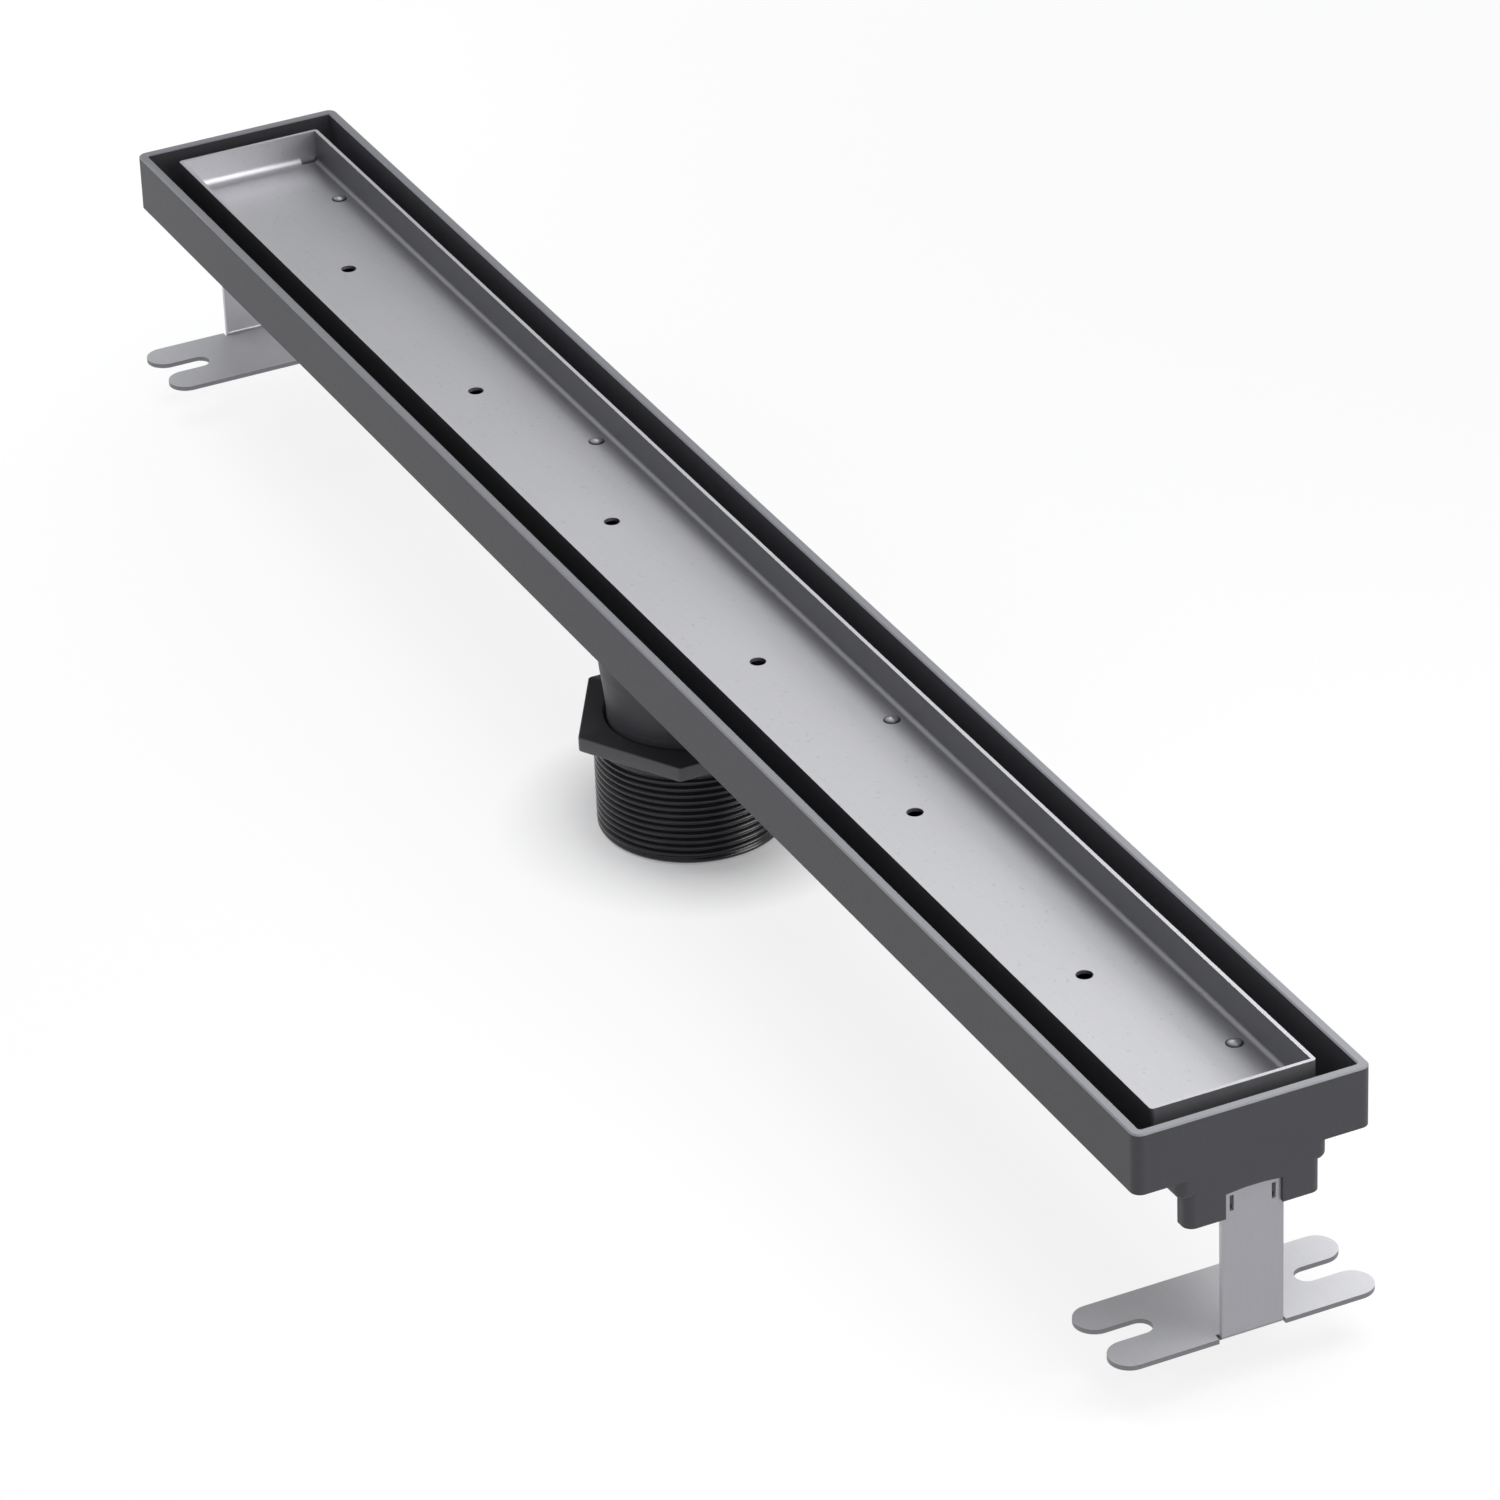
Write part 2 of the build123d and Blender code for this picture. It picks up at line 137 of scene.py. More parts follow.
def moulded_abs():
    """Dark grey ABS, injection moulded in a spark-eroded tool.

    To the eye: an even, slightly mottled grey with a soft sheen, with a painted highlight
    along the rim's top, and painted shade, near black, inside the rim.
    """
    material, tree, shader, place = new_material("moulded dark grey ABS")
    # Clouds a hand wide, as the melt spread in the tool
    cloud = add_node(
        tree,
        "ShaderNodeTexNoise",
        inputs={"Vector": place, "Scale": 1 / (60 * MM), "Detail": 2.0},
    )
    # Spark-eroded grain is about 0.1 mm, too fine to show, and is drawn at 0.7 mm
    grain = add_node(
        tree,
        "ShaderNodeTexNoise",
        inputs={"Vector": place, "Scale": 1 / (0.7 * MM), "Detail": 1.0},
    )
    # Slight unevenness of a wall a few millimetres thick
    ripple = add_node(
        tree,
        "ShaderNodeTexNoise",
        inputs={"Vector": place, "Scale": 1 / (5 * MM), "Detail": 2.0},
    )
    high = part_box("channel_body")[1]
    split = add_node(tree, "ShaderNodeSeparateXYZ", inputs={0: place}).outputs
    known = {"x": split[0], "y": split[1], "z": split[2], "cloud": cloud, "grain": grain}
    steps = [
        ("away x", "ABSOLUTE", "x", 0.0),
        ("away y", "ABSOLUTE", "y", 0.0),
        # Painted shade: inside the rim's walls, down to RIM_HOLLOW below the top, the colour
        # is painted near black
        ("within x", "LESS_THAN", "away x", high.x - RIM_WALL - 4 * CLOSE),
        ("within y", "LESS_THAN", "away y", high.y - RIM_WALL - 4 * CLOSE),
        ("above", "GREATER_THAN", "z", high.z - RIM_HOLLOW),
        ("within", "MULTIPLY", "within x", "within y"),
        ("inside", "MULTIPLY", "within", "above"),
        # Painted highlight: a thin band at the rim's top is painted paler
        ("painted_light", "GREATER_THAN", "z", high.z - RIM_TOP_HIGHLIGHT),
        ("fine", "MULTIPLY", "grain", 0.4),
        ("mottle", "MULTIPLY_ADD", "cloud", 0.6, "fine"),
    ]
    for name, operation, *values in steps:
        inputs = {i: known.get(value, value) for i, value in enumerate(values)}
        known[name] = add_node(tree, "ShaderNodeMath", {"operation": operation}, inputs)
    colour = linear("#38373b")
    # The mottle is the plastic's own tone; the paler rim top is a painted highlight and the
    # near black inside is painted shade
    for share, tone in (("mottle", "#424146"), ("painted_light", "#7a7b7f"), ("inside", "#212124")):
        colour = add_node(
            tree,
            "ShaderNodeMix",
            {"data_type": "RGBA"},
            {0: known[share], 6: colour, 7: linear(tone)},
        )
    tree.links.new(colour.outputs[2], shader.inputs["Base Color"])
    rough = add_node(
        tree, "ShaderNodeMapRange", inputs={"Value": grain, "To Min": 0.44, "To Max": 0.58}
    )
    tree.links.new(rough.outputs[0], shader.inputs["Roughness"])
    shader.inputs["Specular IOR Level"].default_value = 0.3
    uneven = add_node(
        tree, "ShaderNodeBump", inputs={"Height": ripple, "Distance": 0.02 * MM}
    )
    normal = add_node(
        tree,
        "ShaderNodeBump",
        inputs={"Height": grain, "Distance": 0.03 * MM, "Normal": uneven},
    )
    tree.links.new(normal.outputs[0], shader.inputs["Normal"])
    return material


def black_abs():
    """Black ABS, moulded in a turned and polished tool.

    To the eye: a dense black with a thin polished skin, so its crests glint, and painted
    light that makes the hexagon greyer, most of all on its upright flats.
    """
    material, tree, shader, place = new_material("moulded black ABS")
    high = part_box("threaded_adapter")[1]
    # Turning marks are about 0.2 mm apart and are drawn 0.6 mm apart
    grain = add_node(
        tree,
        "ShaderNodeTexNoise",
        inputs={"Vector": place, "Scale": 1 / (0.6 * MM), "Detail": 1.0},
    )
    cloud = add_node(
        tree,
        "ShaderNodeTexNoise",
        inputs={"Vector": place, "Scale": 1 / (12 * MM), "Detail": 2.0},
    )
    facing = add_node(tree, "ShaderNodeNewGeometry").outputs["Normal"]
    tilt = add_node(tree, "ShaderNodeSeparateXYZ", inputs={0: facing}).outputs
    split = add_node(tree, "ShaderNodeSeparateXYZ", inputs={0: place}).outputs
    known = {"z": split[2], "up": tilt[2], "cloud": cloud}
    steps = [
        ("lean", "ABSOLUTE", "up", 0.0),
        ("upright", "LESS_THAN", "lean", 0.5),
        # Painted light: the flange is painted greyer, and its upright flats greyer still
        ("flange", "GREATER_THAN", "z", high.z - FLANGE_THICKNESS + CLOSE),
        ("flat", "MULTIPLY", "upright", "flange"),
    ]
    for name, operation, *values in steps:
        inputs = {i: known.get(value, value) for i, value in enumerate(values)}
        known[name] = add_node(tree, "ShaderNodeMath", {"operation": operation}, inputs)
    colour = linear("#18181b")
    for share, tone in (("cloud", "#222225"), ("flange", "#36363a"), ("flat", "#464549")):
        colour = add_node(
            tree,
            "ShaderNodeMix",
            {"data_type": "RGBA"},
            {0: known[share], 6: colour, 7: linear(tone)},
        )
    tree.links.new(colour.outputs[2], shader.inputs["Base Color"])
    rough = add_node(
        tree, "ShaderNodeMapRange", inputs={"Value": grain, "To Min": 0.2, "To Max": 0.28}
    )
    tree.links.new(rough.outputs[0], shader.inputs["Roughness"])
    shader.inputs["Specular IOR Level"].default_value = 0.25
    shader.inputs["Coat Weight"].default_value = 0.3
    shader.inputs["Coat Roughness"].default_value = 0.15
    normal = add_node(
        tree, "ShaderNodeBump", inputs={"Height": grain, "Distance": 0.015 * MM}
    )
    tree.links.new(normal.outputs[0], shader.inputs["Normal"])
    return material


def black_polypropylene():
    """Black polypropylene, moulded in a plain tool: waxy, and duller than the adapter."""
    material, tree, shader, place = new_material("moulded black polypropylene")
    cloud = add_node(
        tree,
        "ShaderNodeTexNoise",
        inputs={"Vector": place, "Scale": 1 / (8 * MM), "Detail": 2.0},
    )
    # A ground tool leaves marks of about 0.8 mm
    grain = add_node(
        tree,
        "ShaderNodeTexNoise",
        inputs={"Vector": place, "Scale": 1 / (0.8 * MM), "Detail": 2.0},
    )
    colour = add_node(
        tree,
        "ShaderNodeMix",
        {"data_type": "RGBA"},
        {0: cloud, 6: linear("#161618"), 7: linear("#1d1d20")},
    )
    tree.links.new(colour.outputs[2], shader.inputs["Base Color"])
    rough = add_node(
        tree, "ShaderNodeMapRange", inputs={"Value": grain, "To Min": 0.45, "To Max": 0.6}
    )
    tree.links.new(rough.outputs[0], shader.inputs["Roughness"])
    normal = add_node(
        tree, "ShaderNodeBump", inputs={"Height": grain, "Distance": 0.02 * MM}
    )
    tree.links.new(normal.outputs[0], shader.inputs["Normal"])
    return material


def stainless(name, light, dark, stretch, grain_width, rough):
    """Stainless steel sheet whose grain is drawn out along the axes stretched least.

    Returns the material, its tree, its shader, its coordinates and its colour.
    """
    material, tree, shader, place = new_material(name)
    shader.inputs["Metallic"].default_value = 1.0
    # The mill's rolls leave tones a hand wide
    cloud = add_node(
        tree,
        "ShaderNodeTexNoise",
        inputs={"Vector": place, "Scale": 1 / (60 * MM), "Detail": 1.0},
    )
    drawn = add_node(tree, "ShaderNodeMapping", inputs={"Vector": place, "Scale": stretch})
    grain = add_node(
        tree,
        "ShaderNodeTexNoise",
        inputs={"Vector": drawn, "Scale": 1 / grain_width, "Detail": 3.0},
    )
    broad = add_node(
        tree, "ShaderNodeMath", {"operation": "MULTIPLY"}, {0: cloud, 1: 0.3}
    )
    tone = add_node(
        tree, "ShaderNodeMath", {"operation": "MULTIPLY_ADD"}, {0: grain, 1: 0.7, 2: broad}
    )
    colour = add_node(
        tree,
        "ShaderNodeMix",
        {"data_type": "RGBA"},
        {0: tone, 6: linear(dark), 7: linear(light)},
    )
    tree.links.new(colour.outputs[2], shader.inputs["Base Color"])
    spread = add_node(
        tree,
        "ShaderNodeMapRange",
        inputs={"Value": grain, "To Min": rough - 0.06, "To Max": rough + 0.06},
    )
    tree.links.new(spread.outputs[0], shader.inputs["Roughness"])
    normal = add_node(
        tree, "ShaderNodeBump", inputs={"Height": grain, "Distance": 0.004 * MM}
    )
    tree.links.new(normal.outputs[0], shader.inputs["Normal"])
    return material, tree, shader, place, colour


def satin_stainless():
    """Cold-rolled stainless sheet for the tray, as it leaves the mill.

    To the eye: a cloudy silver that mirrors softly, with faint lines along the roll
    and a sprinkle of handling specks, and painted shade that makes the long walls
    deeper. The lines are 0.05 mm wide and are drawn at 0.7.
    """
    material, tree, shader, place, colour = stainless(
        "cold-rolled stainless sheet", "#b8b8bb", "#a9a9ac", (0.06, 1, 1), 0.7 * MM, 0.46
    )
    # Specks of about a millimetre, a few to each square centimetre
    dots = add_node(
        tree,
        "ShaderNodeTexNoise",
        inputs={"Vector": place, "Scale": 1 / (1.6 * MM), "Detail": 1.0},
    )
    speck = add_node(
        tree,
        "ShaderNodeMapRange",
        inputs={"Value": dots, "From Min": 0.68, "From Max": 0.8, "To Max": 0.3},
    )
    marked = add_node(
        tree,
        "ShaderNodeMix",
        {"data_type": "RGBA"},
        {0: speck, 6: colour, 7: linear("#808083")},
    )
    # Painted shade: faces turned towards the long sides are painted deeper
    facing = add_node(tree, "ShaderNodeNewGeometry").outputs["Normal"]
    tilt = add_node(tree, "ShaderNodeSeparateXYZ", inputs={0: facing}).outputs
    sideways = add_node(tree, "ShaderNodeMath", {"operation": "ABSOLUTE"}, {0: tilt[1]})
    long_wall = add_node(
        tree,
        "ShaderNodeMapRange",
        inputs={"Value": sideways, "From Min": 0.6, "From Max": 0.95},
    )
    painted_light = add_node(
        tree,
        "ShaderNodeMix",
        {"data_type": "RGBA", "blend_type": "MULTIPLY"},
        {0: long_wall, 6: marked, 7: linear("#cfcfd1")},
    )
    tree.links.new(painted_light.outputs[2], shader.inputs["Base Color"])
    return material


def plain_stainless():
    """Dull-rolled stainless sheet for the supports: an even, soft grey."""
    return stainless(
        "dull-rolled stainless sheet", "#c0c0c2", "#b0b0b3", (1, 1, 1), 0.7 * MM, 0.4
    )[0]


def headed_stainless():
    """Stainless studs with cold-headed domes.

    To the eye: a bright top in a ring of painted shade, where the dome meets the tray's floor.
    """
    material, tree, shader, place, colour = stainless(
        "cold-headed stainless wire", "#cfcfd2", "#bcbcbf", (1, 1, 1), 0.7 * MM, 0.34
    )
    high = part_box("support_studs")[1]
    height = add_node(tree, "ShaderNodeSeparateXYZ", inputs={0: place}).outputs[2]
    # Painted shade: the dome's foot, where it meets the floor, is painted dark
    crown = add_node(
        tree,
        "ShaderNodeMapRange",
        inputs={
            "Value": height,
            "From Min": high.z - 0.75 * STUD_HEAD,
            "From Max": high.z - 0.3 * STUD_HEAD,
        },
    )
    painted_shade_ring = add_node(
        tree,
        "ShaderNodeMix",
        {"data_type": "RGBA"},
        {0: crown, 6: linear("#4c4c50"), 7: colour},
    )
    tree.links.new(painted_shade_ring.outputs[2], shader.inputs["Base Color"])
    return material


def brushed_stainless():
    """Belt-brushed stainless sheet for the feet, sheared to its outline.

    To the eye: fine upright lines on the strip and lines across the plate, painted
    shade on the strip, and dark cut edges. Grit 180 leaves lines 0.08 mm wide, drawn
    at 0.5.
    """
    material, tree, shader, place, colour = stainless(
        "brushed stainless sheet", "#bebec1", "#adadb0", (0.05, 1, 0.05), 0.5 * MM, 0.42
    )
    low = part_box("foot_right")[0]
    facing = add_node(tree, "ShaderNodeNewGeometry").outputs["Normal"]
    tilt = add_node(tree, "ShaderNodeSeparateXYZ", inputs={0: facing}).outputs
    split = add_node(tree, "ShaderNodeSeparateXYZ", inputs={0: place}).outputs
    known = {"x": split[0], "z": split[2], "out": tilt[0], "up": tilt[2]}
    steps = [
        ("outward", "MULTIPLY", "x", "out"),
        ("strip", "GREATER_THAN", "outward", low.x / 2),
        # The strip mirrors more than the plate, whose brushing is duller
        ("endways", "ABSOLUTE", "out", 0.0),
        ("mirrored", "MULTIPLY_ADD", "endways", 0.45, 0.4),
        ("lean", "ABSOLUTE", "up", 0.0),
        ("upright", "LESS_THAN", "lean", 0.5),
        ("low", "LESS_THAN", "z", low.z + FOOT_SHEET + CLOSE),
        ("edge", "MULTIPLY", "upright", "low"),
    ]
    for name, operation, *values in steps:
        inputs = {i: known.get(value, value) for i, value in enumerate(values)}
        known[name] = add_node(tree, "ShaderNodeMath", {"operation": operation}, inputs)
    # Painted shade: the strip's outward faces are painted deeper than the plate
    painted_shade_strip = add_node(
        tree,
        "ShaderNodeMix",
        {"data_type": "RGBA", "blend_type": "MULTIPLY"},
        {0: known["strip"], 6: colour, 7: linear("#d8d8db")},
    )
    sheared = add_node(
        tree,
        "ShaderNodeMix",
        {"data_type": "RGBA"},
        {0: known["edge"], 6: painted_shade_strip, 7: linear("#77777a")},
    )
    tree.links.new(sheared.outputs[2], shader.inputs["Base Color"])
    tree.links.new(known["mirrored"].outputs[0], shader.inputs["Metallic"])
    return material


def hexagon_reach(angle, flats, corner):
    """How far a hexagon with rounded corners reaches at an angle; its corners are on Y."""
    half_side = math.pi / 6
    turn = (angle + half_side) % (2 * half_side) - half_side
    away = half_side - abs(turn)
    centre = (flats / 2 - corner) / math.cos(half_side)
    tangent = math.atan2(
        corner * math.sin(half_side), centre + corner * math.cos(half_side)
    )
    if away >= tangent:
        return flats / 2 / math.cos(turn)
    return centre * math.cos(away) + math.sqrt(corner**2 - (centre * math.sin(away)) ** 2)


def ring_angles():
    """Angles round the adapter, closer together at the hexagon's corners.

    They are worked out as shares of a sixth of a turn, whose middle is a corner.
    """
    corner = 0.5
    beside = (0.003, 0.008, 0.013, 0.017, 0.0193, 0.0205, 0.04)
    even = 40
    sides = [i / even for i in range(even) if abs(i / even - corner) > max(beside)]
    kept = sorted(sides + [corner - s for s in beside] + [corner + s for s in beside])
    return [(side + s) * math.pi / 3 for side in range(6) for s in kept]


def adapter_rings(flange_low, flange_high, barrel_radius):
    """The adapter's section as rings, bore first: a height and a radius for each angle."""
    angles = ring_angles()

    def circle(radius, z):
        return [(radius, z)] * len(angles)

    def hexagon(inset, z):
        reach = [hexagon_reach(a, HEX_FLATS - 2 * inset, HEX_CORNER) for a in angles]
        return [(r, z) for r in reach]

    rings = [
        circle(BORE_RADIUS, 0),
        circle(BORE_RADIUS, SOCKET_FLOOR),
        circle(SOCKET_RADIUS, SOCKET_FLOOR),
        circle(SOCKET_RADIUS, flange_high - MOUTH_BEVEL),
        circle(SOCKET_RADIUS + MOUTH_BEVEL, flange_high),
    ]
    rounding = (1.0, 0.5, 0.13, 0.0)
    for share in rounding:
        drop = 1 - math.sqrt(1 - (1 - share) ** 2)
        rings.append(hexagon(FLANGE_EDGE * share, flange_high - FLANGE_EDGE * drop))
    for share in reversed(rounding):
        drop = 1 - math.sqrt(1 - (1 - share) ** 2)
        rings.append(hexagon(FLANGE_EDGE * share, flange_low + FLANGE_EDGE * drop))
    barrel = flange_low - BARREL_BEVEL
    count = int(barrel / (THREAD_PITCH / RINGS_PER_TURN))
    for i in range(count + 1):
        rings.append(circle(barrel_radius, flange_low - i * barrel / count))
    # The bevel is bowed outward a little
    bow = BARREL_BEVEL * 0.4
    rings.append(circle(barrel_radius - bow, bow))
    rings.append(circle(barrel_radius - BARREL_BEVEL, 0))
    return angles, rings


def ring_mesh(name, angles, rings):
    """A closed mesh through rings, the last one joined to the first."""
    mesh = bpy.data.meshes.new(name)
    shape = bmesh.new()
    grid = []
    for ring in rings:
        row = []
        for angle, (radius, z) in zip(angles, ring):
            point = (radius * math.cos(angle), radius * math.sin(angle), z)
            row.append(shape.verts.new(point))
        grid.append(row)
    count = len(angles)
    for i, row in enumerate(grid):
        below = grid[(i + 1) % len(grid)]
        for j in range(count):
            k = (j + 1) % count
            shape.faces.new((row[j], below[j], below[k], row[k]))
    bmesh.ops.recalc_face_normals(shape, faces=shape.faces)
    shape.to_mesh(mesh)
    shape.free()
    return mesh


def thread_tree(material):
    """A Geometry Nodes tree that cuts a helical thread into a cylinder about Z."""
    tree = bpy.data.node_groups.new("pipe_thread", "GeometryNodeTree")
    sockets = tree.interface
    sockets.new_socket("Geometry", in_out="INPUT", socket_type="NodeSocketGeometry")
    for name in ("Radius", "Pitch", "Depth", "Start", "End"):
        sockets.new_socket(name, in_out="INPUT", socket_type="NodeSocketFloat")
    sockets.new_socket("Geometry", in_out="OUTPUT", socket_type="NodeSocketGeometry")
    given = add_node(tree, "NodeGroupInput").outputs
    place = add_node(tree, "GeometryNodeInputPosition")
    split = add_node(tree, "ShaderNodeSeparateXYZ", inputs={0: place}).outputs
    known = {"x": split[0], "y": split[1], "z": split[2]}
    known.update((name, given[name]) for name in ("Radius", "Pitch", "Depth", "Start", "End"))
    steps = [
        ("x squared", "MULTIPLY", "x", "x"),
        ("reach squared", "MULTIPLY_ADD", "y", "y", "x squared"),
        ("reach", "SQRT", "reach squared"),
        ("on barrel", "COMPARE", "reach", "Radius", CLOSE),
        # Half turns of the helix to this point, folded to 0 in a root and 1 on a crest
        ("angle", "ARCTAN2", "y", "x"),
        ("round", "DIVIDE", "angle", 2 * math.pi),
        ("risen", "DIVIDE", "z", "Pitch"),
        ("turns", "SUBTRACT", "risen", "round"),
        ("half turns", "MULTIPLY", "turns", 2.0),
        ("vee", "PINGPONG", "half turns", 1.0),
        # The root is narrow, and the crest is flat for a quarter of the pitch
        ("lifted", "SUBTRACT", "vee", THREAD_ROOT),
        ("steep", "DIVIDE", "lifted", THREAD_FLANK),
        ("floor", "MAXIMUM", "steep", 0.0),
        ("crest", "MINIMUM", "floor", 1.0),
        ("root", "SUBTRACT", 1.0, "crest"),
        # The cut runs out over a turn at each end
        ("past start", "SUBTRACT", "z", "Start"),
        ("before end", "SUBTRACT", "End", "z"),
        ("to end", "MINIMUM", "past start", "before end"),
        ("turns to end", "DIVIDE", "to end", "Pitch"),
        ("not past", "MAXIMUM", "turns to end", 0.0),
        ("fade", "MINIMUM", "not past", 1.0),
        ("deep", "MULTIPLY", "root", "Depth"),
        ("faded", "MULTIPLY", "deep", "fade"),
        ("cut", "MULTIPLY", "faded", "on barrel"),
        ("lost", "DIVIDE", "cut", "reach"),
        ("left", "SUBTRACT", 1.0, "lost"),
        ("new x", "MULTIPLY", "x", "left"),
        ("new y", "MULTIPLY", "y", "left"),
    ]
    for name, operation, *values in steps:
        inputs = {i: known.get(value, value) for i, value in enumerate(values)}
        known[name] = add_node(tree, "ShaderNodeMath", {"operation": operation}, inputs)
    moved = add_node(
        tree,
        "ShaderNodeCombineXYZ",
        inputs={0: known["new x"], 1: known["new y"], 2: known["z"]},
    )
    placed = add_node(
        tree,
        "GeometryNodeSetPosition",
        inputs={"Geometry": given["Geometry"], "Position": moved},
    )
    solid = add_node(tree, "GeometryNodeRealizeInstances", inputs={"Geometry": placed})
    finished = add_node(
        tree, "GeometryNodeSetMaterial", inputs={"Geometry": solid, "Material": material}
    )
    add_node(tree, "NodeGroupOutput", inputs={"Geometry": finished})
    return tree


def apply_tree(piece, tree, values):
    """Runs a Geometry Nodes tree on a piece and keeps the result as its mesh."""
    modifier = piece.modifiers.new(tree.name, "NODES")
    modifier.node_group = tree
    for socket in tree.interface.items_tree:
        if socket.in_out == "INPUT" and socket.name in values:
            modifier[socket.identifier] = values[socket.name]
    bpy.context.view_layer.update()
    seen = piece.evaluated_get(bpy.context.evaluated_depsgraph_get())
    made = bpy.data.meshes.new_from_object(seen)
    piece.modifiers.remove(modifier)
    piece.data = made


def smooth_below(mesh, degrees):
    """Smooth shading, with edges sharper than an angle kept sharp."""
    mesh.polygons.foreach_set("use_smooth", [True] * len(mesh.polygons))
    mesh.set_sharp_from_angle(angle=math.radians(degrees))


def round_thread(mesh):
    """Lets the shading run over the thread's crests, which moulding leaves rounded."""
    inner = BARREL_RADIUS - THREAD_DEPTH - CLOSE
    on_thread = [
        math.hypot(v.co.x, v.co.y) > inner and THREAD_START < v.co.z < THREAD_END
        for v in mesh.vertices
    ]
    for edge in mesh.edges:
        if all(on_thread[i] for i in edge.vertices):
            edge.use_edge_sharp = False


def threaded_adapter(material):
    """The adapter with its real thread, in place of the plain solid."""
    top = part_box("threaded_adapter")[1].z
    angles, rings = adapter_rings(top - FLANGE_THICKNESS, top, BARREL_RADIUS)
    mesh = ring_mesh("adapter_with_thread", angles, rings)
    piece = bpy.data.objects.new("adapter_with_thread", mesh)
    bpy.context.scene.collection.objects.link(piece)
    sizes = {
        "Radius": BARREL_RADIUS,
        "Pitch": THREAD_PITCH,
        "Depth": THREAD_DEPTH,
        "Start": THREAD_START,
        "End": THREAD_END,
    }
    apply_tree(piece, thread_tree(material), sizes)
    smooth_below(piece.data, SHARP_ANGLE)
    round_thread(piece.data)
    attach(piece, "root")
    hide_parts("threaded_adapter")


def dress(node, material):
    """Gives a CAD node its finish."""
    mesh = nodes[node].data
    mesh.materials.clear()
    mesh.materials.append(material)


def seen_rays(tree):
    """1 for what is seen directly, in a reflection or through glass, and 0 for the rest."""
    rays = add_node(tree, "ShaderNodeLightPath").outputs
    seen = rays["Is Camera Ray"]
    for kind in ("Is Glossy Ray", "Is Transmission Ray"):
        seen = add_node(
            tree, "ShaderNodeMath", {"operation": "MAXIMUM"}, {0: seen, 1: rays[kind]}
        ).outputs[0]
    return seen


def studio():
    """A white paper floor and backdrop, under a grey ceiling."""
    world = bpy.data.worlds.new("white studio")
    bpy.context.scene.world = world
    world.use_nodes = True
    tree = world.node_tree
    tree.nodes.clear()
    way = add_node(tree, "ShaderNodeTexCoord").outputs["Generated"]
    up = add_node(tree, "ShaderNodeSeparateXYZ", inputs={0: way}).outputs[2]
    height = add_node(
        tree,
        "ShaderNodeMapRange",
        inputs={"Value": up, "From Min": WALL_TOP, "From Max": CEILING_START},
    )
    sides = [
        add_node(
            tree,
            "ShaderNodeMix",
            {"data_type": "RGBA"},
            {0: height, 6: linear(wall), 7: linear(CEILING)},
        )
        for wall in ("#d4d5d8", "#ffffff")
    ]
    shown = add_node(
        tree,
        "ShaderNodeMix",
        {"data_type": "RGBA"},
        {0: seen_rays(tree), 6: sides[0], 7: sides[1]},
    )
    light = add_node(tree, "ShaderNodeBackground", inputs={"Color": shown, "Strength": 1.0})
    add_node(tree, "ShaderNodeOutputWorld", inputs={"Surface": light})

    mesh = bpy.data.meshes.new("studio_floor")
    signs = ((-1, -1), (1, -1), (1, 1), (-1, 1))
    corners = [(x * FLOOR_HALF, y * FLOOR_HALF, 0) for x, y in signs]
    mesh.from_pydata(corners, [], [(0, 1, 2, 3)])
    floor = bpy.data.objects.new("studio_floor", mesh)
    bpy.context.scene.collection.objects.link(floor)
    material = bpy.data.materials.new("white studio paper")
    material.use_nodes = True
    tree = material.node_tree
    tree.nodes.clear()
    paper = add_node(tree, "ShaderNodeBsdfDiffuse", inputs={"Color": linear("#fafafa")})
    glow = add_node(tree, "ShaderNodeEmission", inputs={"Color": linear("#ffffff")})
    spot = add_node(tree, "ShaderNodeTexCoord").outputs["Object"]
    away = add_node(tree, "ShaderNodeVectorMath", {"operation": "LENGTH"}, {0: spot})
    near = add_node(
        tree,
        "ShaderNodeMapRange",
        inputs={
            "Value": away,
            "From Min": OUTLET_SHADOW[0],
            "From Max": OUTLET_SHADOW[1],
            "To Min": OUTLET_GLOW,
            "To Max": FLOOR_GLOW,
        },
    )
    beyond = add_node(
        tree,
        "ShaderNodeMapRange",
        inputs={
            "Value": away,
            "From Min": DRAIN_SHADOW[0],
            "From Max": DRAIN_SHADOW[1],
            "To Max": FAR_GLOW - FLOOR_GLOW,
        },
    )
    white = add_node(tree, "ShaderNodeMath", {"operation": "ADD"}, {0: near, 1: beyond})
    share = add_node(
        tree, "ShaderNodeMath", {"operation": "MULTIPLY"}, {0: seen_rays(tree), 1: white}
    )
    both = add_node(tree, "ShaderNodeMixShader", inputs={0: share, 1: paper, 2: glow})
    add_node(tree, "ShaderNodeOutputMaterial", inputs={"Surface": both})
    mesh.materials.append(material)


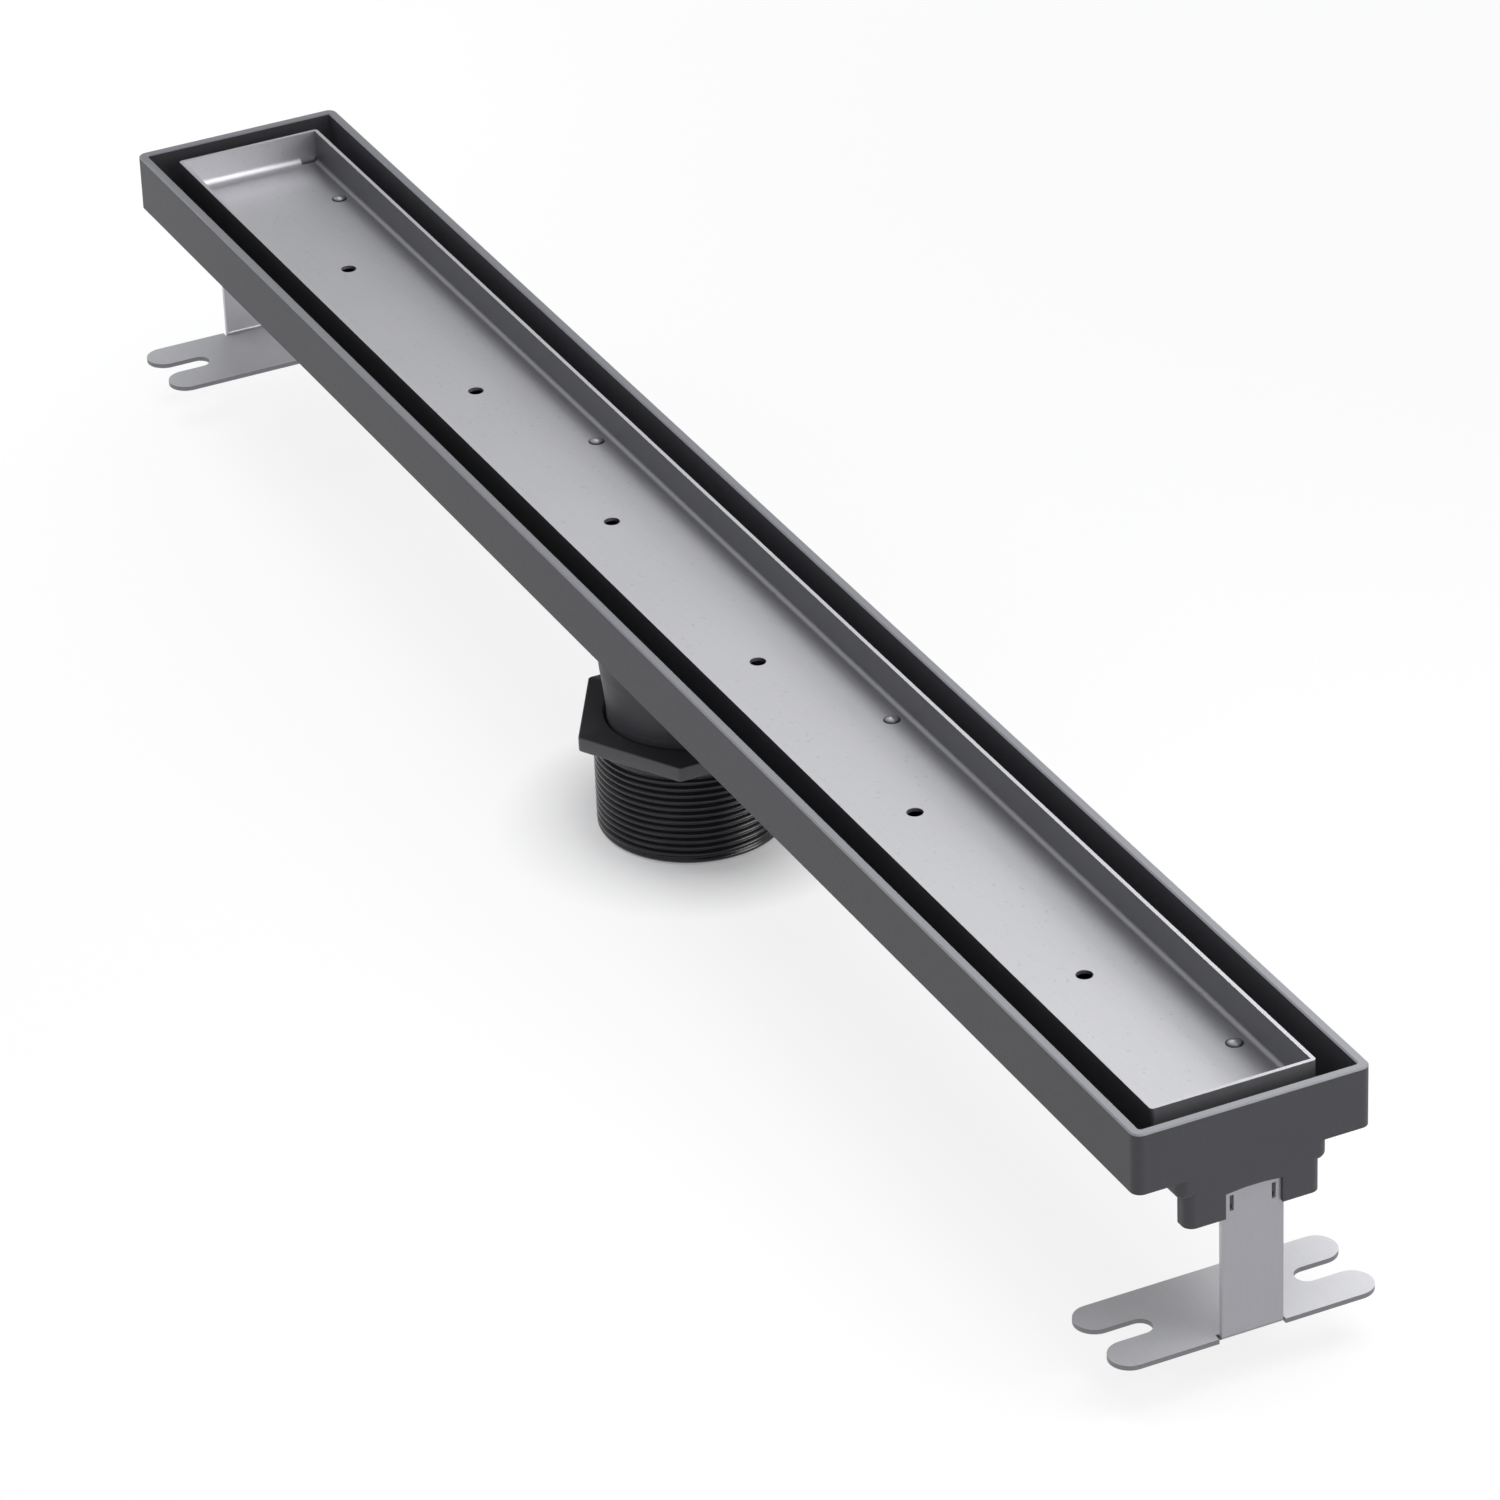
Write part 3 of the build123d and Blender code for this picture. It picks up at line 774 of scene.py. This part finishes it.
def soft_light(name, place, aim, size, power, use):
    """A soft light at a place, turned to a point, that only lights or is only reflected."""
    data = bpy.data.lights.new(name, "AREA")
    data.shape = "RECTANGLE"
    data.size, data.size_y = size
    data.energy = power
    lamp = bpy.data.objects.new(name, data)
    bpy.context.scene.collection.objects.link(lamp)
    lamp.location = place
    lamp.visible_camera = False
    lamp.visible_diffuse = use == "lights"
    lamp.visible_glossy = use == "reflected"
    towards = Vector(aim) - Vector(place)
    lamp.rotation_euler = towards.to_track_quat("-Z", "Y").to_euler()


def camera():
    """The photograph's camera."""
    data = bpy.data.cameras.new("camera")
    data.lens = CAMERA_LENS
    data.sensor_width = CAMERA_SENSOR
    data.clip_start = 0.05
    data.clip_end = 50
    piece = bpy.data.objects.new("camera", data)
    piece.location = CAMERA_PLACE
    piece.rotation_euler = [math.radians(a) for a in (CAMERA_TILT, CAMERA_ROLL, CAMERA_TURN)]
    bpy.context.scene.collection.objects.link(piece)
    bpy.context.scene.camera = piece


camera()
studio()
soft_light("back_softbox", (-0.75, 0.65, 0.9), (0.35, 0, 0.08), (0.9, 0.5), 2.5, "reflected")
soft_light("right_softbox", (0.95, 0.6, 0.95), (-0.35, 0, 0.08), (1.4, 1.4), 16.0, "reflected")
soft_light("rear_softbox", (-0.36, 1.0, 0.55), (0, 0, 0.02), (0.6, 0.45), 12.0, "reflected")
soft_light("low_softbox", (0.75, 0.66, 0.36), (0.03, 0, 0.02), (0.35, 0.25), 3.0, "reflected")
soft_light("far_softbox", (-0.75, -0.14, 0.12), (-0.36, -0.02, 0), (0.2, 0.1), 1.2, "lights")
soft_light("left_softbox", (-1.1, -0.9, 0.7), (-0.4, 0, 0.08), (0.6, 0.6), 3.2, "lights")
soft_light("top_softbox", (-0.1, -0.25, 1.55), (0, 0, 0), (0.8, 0.8), 7.4, "lights")
soft_light("near_softbox", (0.4, 0.12, 0.43), (0.35, 0, 0.08), (0.35, 0.35), 1.5, "lights")
bpy.context.scene.view_settings.view_transform = "Standard"

threaded_adapter(black_abs())
dress("channel_body", moulded_abs())
dress("hair_strainer", black_polypropylene())
dress("tile_tray", satin_stainless())
dull_sheet = plain_stainless()
for number in range(1, 5):
    dress(f"tray_support_{number}", dull_sheet)
dress("support_studs", headed_stainless())
brushed_sheet = brushed_stainless()
dress("foot_left", brushed_sheet)
dress("foot_right", brushed_sheet)
